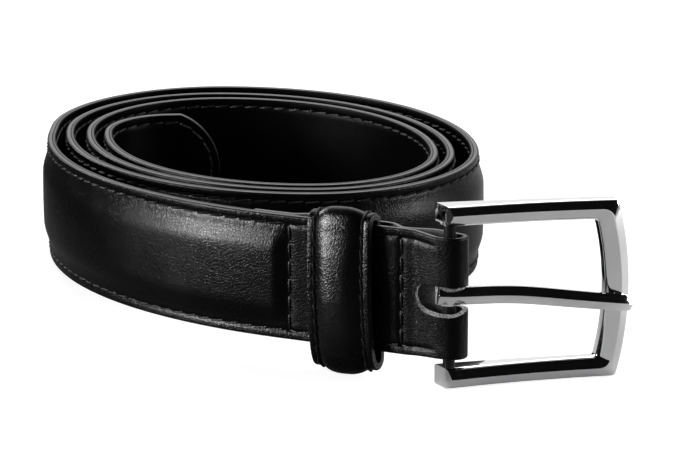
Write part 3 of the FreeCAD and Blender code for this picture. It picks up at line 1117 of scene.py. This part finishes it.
def keeper_shell(name, inner, outer, count, across, finishes):
    """Ring of leather between two surfaces, given as offsets out from the keeper's line.

    inner and outer take the distances along the strap and a place on the keeper's line."""
    even, out, travel = closed_curve(keeper_line, count)
    rings, maps = [], []
    for i in range(count):
        top, bottom = outer(across, even[i]), inner(across, even[i])
        x = np.concatenate([across, across[::-1]])
        lift = np.concatenate([top, bottom[::-1]])
        flat = even[i] + out[i] * lift[:, None]
        rings.append((x, flat))
        girth = np.concatenate([[0.0], np.cumsum(np.hypot(np.diff(x), np.diff(lift)))])
        maps.append(np.stack([np.full(len(x), travel[i]), girth], -1) * MM)
    size = len(rings[0][0])
    vertices = np.concatenate([keeper_place(x, flat) for x, flat in rings])
    faces, slots = [], []
    half = len(across)
    for i in range(count):
        a, b = i * size, ((i + 1) % count) * size
        for j in range(size):
            k = (j + 1) % size
            faces.append((a + j, b + j, b + k, a + k))
            slots.append(1 if j in (half - 1, size - 1) else 0 if j < half else 2)
    piece = new_piece(name, vertices, faces, finishes, np.concatenate(maps), slots)
    merge_doubles(piece)
    return piece


def keeper_rows(rows, thread, belt):
    """Stitches round the keeper, in a row at each distance along the strap, mm."""
    points, sunk = 400, -0.25
    even, out, travel = closed_curve(keeper_line, points)
    girth = travel[-1] + travel[1]
    count = int(girth * MM / (belt.stitch.pitch * 0.8))
    places, runs, outs = [], [], []
    for x in rows:
        for value in (np.arange(count) + 0.5) * points / count:
            i = int(value) % points
            places.append(keeper_place(np.array(x), even[i] + out[i] * sunk))
            run = even[(i + 1) % points] - even[i]
            runs.append(inward * run[0] + up * run[1])
            outs.append(inward * out[i][0] + up * out[i][1])
    return sew("keeper_stitches", places, runs, outs, thread, belt)


class BELT_OT_keeper(bpy.types.Operator):
    """Padded keeper: a lined and stitched ring that slides on the front layer"""

    bl_idname = "belt.keeper"
    bl_label = "Keeper"

    def execute(self, context):
        belt = context.scene.belt
        sizes = belt.keeper
        near, far = -sizes.near_edge / MM, -(sizes.near_edge + sizes.width) / MM
        middle, half = (near + far) / 2, sizes.width / 2 / MM
        steps = np.array([0.0, 0.03, 0.1, 0.2, 0.34, 0.6, 1.0, 1.35, 1.6, 1.75, 1.95, 2.2,
                          2.5, 2.8, 3.1, 3.5, 4.0, 4.6, 5.3, 6.2, 7.4])
        across = middle + np.concatenate([-half + steps, [0.0], (half - steps)[::-1]])
        total = (sizes.lining + sizes.face) / MM
        dome = sizes.dome / MM
        row_inset = 2.0

        def depth(x):
            return half - np.abs(x - middle)

        # the padding is fullest in the middle of the front, and thin over the upper edge
        def outer(x, place):
            inside = depth(x)
            front = smooth((1.0 - place[0]) / 3.5)
            fullest = np.interp(place[1], (-21.0, -16.0, -3.0, 8.0, 14.0, 17.0, 18.75),
                                (0.75, 0.7, 1.0, 0.83, 0.58, 0.6, 0.8))
            reach = np.clip(np.abs(x - middle) / (half - 2.6), 0.0, 1.0)
            lift = dome * front * fullest * (1.0 - reach ** 3)
            groove = 0.28 * hump(inside, row_inset, 0.4)
            return lift - groove - rounded(inside, 0.34)

        def seam(x, _):
            return -sizes.face / MM + rounded(depth(x), 0.12)

        def inside_face(x, _):
            return -total + rounded(depth(x), 0.25)

        def lining_top(x, _):
            return -sizes.face / MM - rounded(depth(x), 0.12)

        colours = belt.finish
        leather = grained_leather("keeper leather", colours.leather, colours.gloss - 0.03,
                                  grain=1450.0, depth=0.00004, creases=0.25, shine=0.065)
        paint = bpy.data.materials["edge paint"]
        lining = bpy.data.materials["lining leather"]
        flesh = bpy.data.materials["flesh side"]
        face = keeper_shell("keeper_leather", seam, outer, 260, across,
                            [leather, paint, flesh])
        liner = keeper_shell("keeper_liner", inside_face, lining_top, 200, across,
                             [lining, paint, lining])
        rows = keeper_rows((middle - half + row_inset, middle + half - row_inset),
                           bpy.data.materials["waxed thread"], belt)
        # all three lean together about the middle of the ring
        turned = Matrix.Rotation(-sizes.lean, 4, Vector(inward))
        centre = Matrix.Translation(Vector(buckle_end(middle, -1.5, 0.0)))
        for piece in (face, liner, rows):
            piece.data.transform(centre @ turned @ centre.inverted())
            soften(piece, 50.0)
        hand_over(face, "keeper", "face_leather", "keeper_face", "keeper_filler")
        hand_over(liner, "keeper", "lining_leather", "keeper_lining")
        hand_over(rows, "keeper", "face_leather")
        return {"FINISHED"}


# ---------------------------------------------------------------- metal


def swung():
    """Matrix from the buckle's own axes to the belt's: bar along Z, end bar towards +X."""
    belt = bpy.context.scene.belt
    turn = Matrix.Rotation(belt.buckle.swing, 4, Vector(up))
    return (Matrix.Translation(Vector(bar)) @ turn
            @ oriented((along, inward, up), (0.0, 0.0, 0.0)))


def block(name, low, high):
    """Cube between two corners."""
    deselect()
    middle = [(a + b) / 2 for a, b in zip(low, high)]
    bpy.ops.mesh.primitive_cube_add(size=1.0, location=middle)
    piece = bpy.context.object
    piece.name = name
    piece.scale = [b - a for a, b in zip(low, high)]
    settle(piece)
    return piece


def drum(name, radius, middle, depth):
    """Upright cylinder."""
    deselect()
    bpy.ops.mesh.primitive_cylinder_add(vertices=64, radius=radius, depth=depth,
                                        location=middle)
    piece = bpy.context.object
    piece.name = name
    settle(piece)
    return piece


def edit(piece, kind):
    """Enter edit mode for points or faces, with nothing selected."""
    only(piece)
    bpy.ops.object.mode_set(mode="EDIT")
    bpy.ops.mesh.select_mode(type=kind)
    bpy.ops.mesh.select_all(action="DESELECT")
    return bmesh.from_edit_mesh(piece.data)


def leave_edit():
    bpy.ops.object.mode_set(mode="OBJECT")


def slice_at(piece, point, normal, **cut):
    """Cut a ring of edges round the whole piece where a plane meets it."""
    edit(piece, "FACE")
    bpy.ops.mesh.select_all(action="SELECT")
    bpy.ops.mesh.bisect(plane_co=point, plane_no=Vector(normal).normalized(),
                        threshold=1e-6, **cut)
    leave_edit()


def trim(piece, point, normal):
    """Cut away what lies beyond a plane, and close the cut."""
    slice_at(piece, point, normal, use_fill=True, clear_outer=True)


def chosen(piece, test):
    """Enter edit mode with the points that pass a test selected."""
    mesh = edit(piece, "VERT")
    for vertex in mesh.verts:
        if test(vertex):
            vertex.select_set(True)
    mesh.select_flush_mode()
    bmesh.update_edit_mesh(piece.data)


def bevel_all(piece, width, degrees):
    """Round every edge that is sharper than this."""
    only(piece)
    modifier = piece.modifiers.new("edges", "BEVEL")
    modifier.width = width
    modifier.segments = 3
    modifier.limit_method = "ANGLE"
    modifier.angle_limit = math.radians(degrees)
    bpy.ops.object.modifier_apply(modifier=modifier.name)


def swept(name, sections):
    """Solid through a list of sections, each one extruded from the one before it."""
    deselect()
    bpy.ops.mesh.primitive_circle_add(vertices=len(sections[0]), fill_type="NGON")
    piece = bpy.context.object
    piece.name = name
    mesh = edit(piece, "VERT")
    bpy.ops.mesh.select_all(action="SELECT")
    for vertex, place in zip(mesh.verts, sections[0]):
        vertex.co = place
    for before, after in zip(sections, sections[1:]):
        bpy.ops.mesh.extrude_region_move()
        mesh = bmesh.from_edit_mesh(piece.data)
        for vertex in [v for v in mesh.verts if v.select]:
            gaps = np.linalg.norm(before - np.array(vertex.co), axis=1)
            vertex.co = after[int(np.argmin(gaps))]
    bpy.ops.mesh.select_all(action="SELECT")
    bpy.ops.mesh.normals_make_consistent(inside=False)
    leave_edit()
    return piece


def crisp(piece):
    """Smooth shading that keeps broad flats flat."""
    soften(piece, 30.0)
    modifier = piece.modifiers.new("flats", "WEIGHTED_NORMAL")
    modifier.keep_sharp = True
    bpy.ops.object.modifier_apply(modifier=modifier.name)


leg_start = -6.0     # the legs are swept from here, behind the bar, and then trimmed, mm


def cornered(heel, slope, far, half, bow, radius):
    """Points along one edge of the frame, from the upper heel round to the lower one.

    The leg starts at height heel and falls by slope; the end bar is an arc through
    (far, 0) that is bow further out there than at height half."""
    arc = (half ** 2 + bow ** 2) / (2 * bow)
    start = np.array([leg_start, heel])
    z = half
    for _ in range(6):
        x = far - arc + math.sqrt(arc ** 2 - z ** 2)
        z = heel - slope * (x - leg_start)
    tilt = math.asin(z / arc)
    turn = math.pi / 2 - tilt
    back = radius * math.tan(turn / 2)
    leg_end = np.array([x - back, z + slope * back])
    middle = leg_end - np.array([0.0, radius])
    leg = [start + (leg_end - start) * part for part in np.linspace(0.0, 1.0, 20)[:-1]]
    fan = [middle + radius * np.array([math.cos(a), math.sin(a)])
           for a in np.linspace(math.pi / 2, tilt, 9)]
    below = fan[-1][1]
    shift = fan[-1][0] - (far - arc + math.sqrt(arc ** 2 - below ** 2))
    bar_points = [np.array([far - arc + math.sqrt(arc ** 2 - h ** 2) + shift * h / below, h])
                  for h in np.linspace(below, 0.0, 15)[1:]]
    upper = leg + fan + bar_points
    lower = [point * (1.0, -1.0) for point in upper[-2::-1]]
    return np.array(upper + lower)


# The frame's section, as (0 from the window, 1 from the outside or 2 at the ridge,
# distance from there towards the ridge, depth behind the bar's axis), mm.
frame_section = [(1, 0.00, 3.3), (1, 0.14, 3.66), (1, 0.50, 3.8), (0, 0.50, 3.8),
                 (0, 0.14, 3.66), (0, 0.00, 3.3), (0, 0.00, -1.55), (0, 0.05, -1.80),
                 (0, 0.20, -2.10), (0, 0.45, -2.40), (0, 0.75, -2.62), (0, 1.05, -2.78),
                 (0, 2.60, -3.50), (2, 0.00, -3.57), (1, 2.10, -3.52), (1, 0.62, -2.74),
                 (1, 0.34, -2.56), (1, 0.12, -2.28), (1, 0.02, -2.00), (1, 0.00, -1.80)]


def frame_sections(sizes):
    """The frame's section at each place round the C, in the buckle's own axes."""
    heel, end, window = (v / MM for v in (sizes.heel_half, sizes.end_half,
                                          sizes.window_half))
    bow = sizes.bow / MM
    far = sizes.reach / MM + bow
    slope = (heel - end) / (far - bow - leg_start)
    outer_bevel, inner_bevel, end_width = 2.3, 3.0, 6.0
    thinning = 2.6       # how much nearer to the front the back is at the end bar
    outside = cornered(heel, slope, far, end, bow, 0.9)
    ridge = cornered(heel - outer_bevel, slope, far - outer_bevel, end - outer_bevel,
                     bow * 0.9, 3.0)
    inside = cornered(window, slope * 1.4, far - end_width, window - 0.55, bow * 0.73, 0.7)
    sections = []
    for o, r, i in zip(outside, ridge, inside):
        section = []
        for side, distance, depth in frame_section:
            edge, width = ((i, inner_bevel), (o, outer_bevel), (r, 1.0))[side]
            x, z = edge + (r - edge) * distance / width
            # the legs are hollowed between heel and end bar, a little less at the back
            reach = max(0.0, min(1.0, x / far))
            hollow = sizes.hollow / MM * math.sin(math.pi * reach)
            depth += hollow if depth < 0.0 else hollow * 0.4 - thinning * reach
            section.append((x * MM, depth * MM, z * MM))
        sections.append(np.array(section))
    return sections


class BELT_OT_buckle(bpy.types.Operator):
    """Buckle frame: a C of plated metal with a ridge between two bevels"""

    bl_idname = "belt.buckle"
    bl_label = "Buckle frame"

    def execute(self, context):
        belt = context.scene.belt
        frame_piece = swept("buckle_plated", frame_sections(belt.buckle))
        # heels: a leaning cut, eased where it meets the front
        heel_corner = (-1.35 * MM, -1.8 * MM, 0.0)
        for lean in ((-5.6, -1.25, 0.0), (-1.2, -0.85, 0.0)):
            trim(frame_piece, heel_corner, lean)
        frame_piece.data.transform(swung())
        metal = plated_metal("bright plating", belt.finish.metal, gloss=0.045)
        frame_piece.data.materials.clear()
        frame_piece.data.materials.append(metal)
        crisp(frame_piece)
        hand_over(frame_piece, "buckle", "polished_metal", "buckle_frame")
        bar_node = frame["nodes"]["buckle_bar"]
        # the bar is made nearly black: painted shade for where it shows between the legs and the
        # fold
        for slot in bar_node.material_slots:
            slot.material = steel_in_painted_shade("bar steel dark as painted shade", belt.finish.metal)
        return {"FINISHED"}


# The prong's ridge in front of the bar's axis, as (towards the end bar, forwards), mm.
prong_ridge = [(0.0, 2.85), (5.0, 2.7), (12.0, 1.95), (18.0, 2.15), (24.0, 3.5),
               (30.0, 4.85), (36.0, 5.5), (41.5, 5.62), (44.2, 5.45), (46.2, 5.1)]
prong_length = prong_ridge[-1][0]
prong_thickness = 2.1
prong_half_width = 2.2
prong_sag = math.radians(5.0)
eye_radius = 2.35
bore_radius = 1.56
# Its rounded nose, as (distance from the bar, part of the full section left there).
prong_nose = ((prong_length - 1.2, 0.97), (prong_length - 0.6, 0.91),
              (prong_length - 0.25, 0.80), (prong_length, 0.62))


def prong_rise():
    """Eased line of the ridge: gives how far forwards the tongue is moved at x, metres."""
    reach = np.linspace(0.0, prong_length, 400)
    ridge = np.array(prong_ridge)
    window = np.hanning(61)
    padded = np.pad(np.interp(reach, ridge[:, 0], ridge[:, 1]), 60, mode="edge")
    eased = np.convolve(padded, window / window.sum(), "same")[60:-60]
    return lambda x: (float(np.interp(x / MM, reach, eased)) - prong_thickness) * MM


def tongue_shape():
    """The tongue in the buckle's own axes: a sliced bar that is ridged, narrowed, curved
    along its ridge line and rounded at the nose."""
    tongue = block("prong", (-3.3 * MM, -prong_thickness * MM, -prong_half_width * MM),
                   (prong_length * MM, 0.0, prong_half_width * MM))
    slice_at(tongue, (0.0, 0.0, 0.0), (0.0, 0.0, 1.0))
    for x in list(np.arange(-1.5, prong_length - 1.4, 1.5)) + [x for x, _ in prong_nose[:-1]]:
        slice_at(tongue, (x * MM, 0.0, 0.0), (1.0, 0.0, 0.0))
    # ridge: the front's edges fall back from its middle line
    chosen(tongue, lambda v: v.co.y < -1 * MM and abs(v.co.z) > 1 * MM)
    bpy.ops.transform.translate(value=(0.0, 1.0 * MM, 0.0))
    leave_edit()
    rise = prong_rise()
    for x in sorted({round(v.co.x, 6) for v in tongue.data.vertices}):
        narrow = 1.0 - 0.06 * float(smooth((x / MM - 20.0) / (prong_length - 20.0)))
        arch = 0.4 + 0.7 * math.sin(math.pi * max(0.0, x / MM / prong_length))
        chosen(tongue, lambda v: abs(v.co.x - x) < 1.5e-6)
        bpy.ops.transform.resize(value=(1.0, 1.0, narrow), center_override=(0, 0, 0))
        bpy.ops.transform.translate(value=(0.0, -rise(x), arch * MM))
        leave_edit()
    for x, part in prong_nose:
        chosen(tongue, lambda v: abs(v.co.x - x * MM) < 2e-5)
        bpy.ops.transform.resize(value=(1.0, part, part),
                                 center_override=(x * MM, -rise(x * MM), 0.4 * MM))
        leave_edit()
    tongue.data.transform(Matrix.Rotation(prong_sag, 4, "Y"))
    return tongue


class BELT_OT_prong(bpy.types.Operator):
    """Prong: a ridged tongue that dips and rises, with an eye round the bar"""

    bl_idname = "belt.prong"
    bl_label = "Prong"

    def execute(self, context):
        belt = context.scene.belt
        tongue = tongue_shape()
        eye = drum("eye", eye_radius * MM, (0.0, 0.5 * MM, 0.0), 2 * prong_half_width * MM)
        combine(tongue, eye, "UNION")
        bore = drum("bore", bore_radius * MM, (0.0, 0.0, 0.0), 20 * MM)
        combine(tongue, bore, "DIFFERENCE")
        bevel_all(tongue, 0.2 * MM, 30.0)
        tongue.data.transform(swung())
        tongue.data.materials.clear()
        metal = plated_metal("bright prong", belt.finish.metal, gloss=0.05)
        tongue.data.materials.append(metal)
        soften(tongue, 30.0)
        tongue.name = "prong_plated"
        hand_over(tongue, "prong", "polished_metal", "prong")
        return {"FINISHED"}


light_path = "ShaderNodeLightPath"


def grey(level):
    return (level, level, level, 1.0)


def pale_floor():
    """Floor that looks white and keeps a faint shadow; what polished things mirror of it is a
    painted reflection, darker near the buckle as painted shade and nearly black to the left.
    """
    f = new_finish("pale floor")
    mottle = f.noise(f.place(), 3.0, 2.0)
    plain = f.matt(f.blend(mottle, grey(0.80), grey(0.82)))
    shadowed = f.matt(f.blend(mottle, grey(0.40), grey(0.41)))
    glow = f.node("ShaderNodeEmission", None, {"Color": grey(1.0), "Strength": 0.86})
    white = f.node("ShaderNodeAddShader", None, {0: shadowed, 1: glow})
    # painted reflection: as polished things mirror it, the floor is darker before the buckle as
    # painted shade, paler further out, and nearly black to the left
    offset = f.node("ShaderNodeVectorMath", {"operation": "DISTANCE"},
                    {0: f.place(), 1: (0.05, -0.17, 0.0)}, "Value")
    leftwards = f.node("ShaderNodeSeparateXYZ", None, {0: f.place()}, "X")
    painted_reflection_grey = f.blend(f.ramp(offset, 0.075, 0.13), grey(0.45), grey(0.75))
    painted_reflection_grey = f.blend(f.ramp(leftwards, -0.13, -0.03), grey(0.03), painted_reflection_grey)
    shiny = f.node(light_path, output="Is Glossy Ray")
    unseen = f.node("ShaderNodeMixShader", None, {0: shiny, 1: plain, 2: f.matt(painted_reflection_grey)})
    seen = f.node(light_path, output="Is Camera Ray")
    mixed = f.node("ShaderNodeMixShader", None, {0: seen, 1: unseen, 2: white})
    f.node("ShaderNodeOutputMaterial", None, {"Surface": mixed})
    return f.owner


def soft_lamp(name, place, size, power, sheen_only=False, fill_only=False):
    """Rectangular lamp that faces the belt; it can leave out the fill or the shine."""
    data = bpy.data.lights.new(name, "AREA")
    data.shape = "RECTANGLE"
    data.size, data.size_y = size
    data.energy = power
    lamp = bpy.data.objects.new(name, data)
    lamp.location = place
    facing = Vector((0.0, 0.0, 0.02)) - Vector(place)
    lamp.rotation_euler = facing.to_track_quat("-Z", "Y").to_euler()
    lamp.visible_diffuse = not sheen_only
    lamp.visible_glossy = not fill_only
    bpy.context.scene.collection.objects.link(lamp)


def studio(ambient):
    """White surroundings, which polished things mirror only behind and above."""
    world = bpy.data.worlds.new("studio")
    w = Finish(world)
    direction = w.node("ShaderNodeTexCoord", output="Generated")
    backwards = w.node("ShaderNodeSeparateXYZ", None, {0: direction}, "Y")
    sideways = w.node("ShaderNodeSeparateXYZ", None, {0: direction}, "X")
    behind = w.ramp(backwards, -0.12, 0.35) * w.ramp(sideways, -0.50, -0.02)
    seen = w.node(light_path, output="Is Camera Ray")
    glossy = w.node(light_path, output="Is Glossy Ray")
    strength = seen + (1.0 - seen) * (glossy * (behind * 0.99 + 0.004)
                                      + (1.0 - glossy) * ambient)
    light = w.node("ShaderNodeBackground", None, {"Color": grey(1.0), "Strength": strength})
    w.node("ShaderNodeOutputWorld", None, {"Surface": light})
    return world


def front_camera():
    """Long lens in front of the buckle, a little above it and looking down."""
    data = bpy.data.cameras.new("camera")
    data.sensor_width = 36.0
    data.lens = 169.41
    data.clip_start, data.clip_end = 0.05, 20.0
    camera = bpy.data.objects.new("camera", data)
    camera.location = Vector(bar) + Vector((-0.02681, -0.74854, 0.23736))
    camera.rotation_euler = (math.radians(90.0 - 16.5), 0.0, 0.0)
    bpy.context.scene.collection.objects.link(camera)
    return camera


class BELT_OT_stage(bpy.types.Operator):
    """Pale floor, soft lamps, white surroundings and the camera"""

    bl_idname = "belt.stage"
    bl_label = "Stage"

    def execute(self, context):
        scene = context.scene
        settings = scene.belt.stage
        deselect()
        bpy.ops.mesh.primitive_plane_add(size=6.0, location=(0.0, 0.0, -0.00005))
        floor = context.object
        floor.name = "floor"
        floor.data.materials.append(pale_floor())
        floor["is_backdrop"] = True
        soft_lamp("left soft lamp", (-0.85, -0.55, 0.30), (0.55, 0.5), settings.left_lamp,
                  fill_only=True)
        soft_lamp("back soft lamp", (0.1, 0.75, 0.75), (1.4, 0.7), settings.back_lamp)
        soft_lamp("right soft lamp", (0.95, -0.05, 0.35), (0.6, 0.6), settings.right_lamp)
        for name, place, size, part in (
                ("main sheen", (-1.02, -0.33, 0.27), (0.30, 0.34), 1.0),
                ("edge sheen", (-0.705, 0.705, 0.465), (0.25, 0.35), 0.12),
                ("right sheen", (0.98, -0.30, 0.30), (0.25, 0.40), 0.3)):
            soft_lamp(name, place, size, settings.sheen * part, sheen_only=True)
        scene.world = studio(settings.ambient)
        scene.camera = front_camera()
        scene.view_settings.view_transform = "Standard"
        return {"FINISHED"}


pieces = (BELT_OT_strap_face, BELT_OT_strap_lining, BELT_OT_stitching, BELT_OT_keeper,
          BELT_OT_buckle, BELT_OT_prong, BELT_OT_stage)


class Belt(bpy.types.PropertyGroup):
    strap: bpy.props.PointerProperty(type=StrapSizes, name="Strap")
    stitch: bpy.props.PointerProperty(type=StitchSizes, name="Stitching")
    keeper: bpy.props.PointerProperty(type=KeeperSizes, name="Keeper")
    buckle: bpy.props.PointerProperty(type=BuckleSizes, name="Buckle")
    finish: bpy.props.PointerProperty(type=FinishSettings, name="Finishes")
    stage: bpy.props.PointerProperty(type=StageSettings, name="Stage")


class BELT_PT_panel(bpy.types.Panel):
    """Everything that builds the belt, in order"""

    bl_idname = "BELT_PT_panel"
    bl_label = "Dress Belt"
    bl_space_type = "VIEW_3D"
    bl_region_type = "UI"
    bl_category = "Belt"

    def draw(self, context):
        belt = context.scene.belt
        for group in ("strap", "stitch", "keeper", "buckle", "finish", "stage"):
            box = self.layout.box()
            settings = getattr(belt, group)
            for name in settings.bl_rna.properties.keys():
                if name not in ("rna_type", "name"):
                    box.prop(settings, name)
        for piece in pieces:
            self.layout.operator(piece.bl_idname)


groups = (StrapSizes, StitchSizes, KeeperSizes, BuckleSizes, FinishSettings, StageSettings,
          Belt)


def register():
    for item in groups + pieces + (BELT_PT_panel,):
        bpy.utils.register_class(item)
    bpy.types.Scene.belt = bpy.props.PointerProperty(type=Belt)


def unregister():
    del bpy.types.Scene.belt
    for item in reversed(groups + pieces + (BELT_PT_panel,)):
        bpy.utils.unregister_class(item)


def plain(box):
    return [[float(v) for v in corner] for corner in box]


def main():
    register()
    for piece in pieces:
        space, name = piece.bl_idname.split(".")
        getattr(getattr(bpy.ops, space), name)()
    deselect()
    {"cad": plain(cad_box), "visual": plain(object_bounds())}


if __name__ == "__main__":
    main()
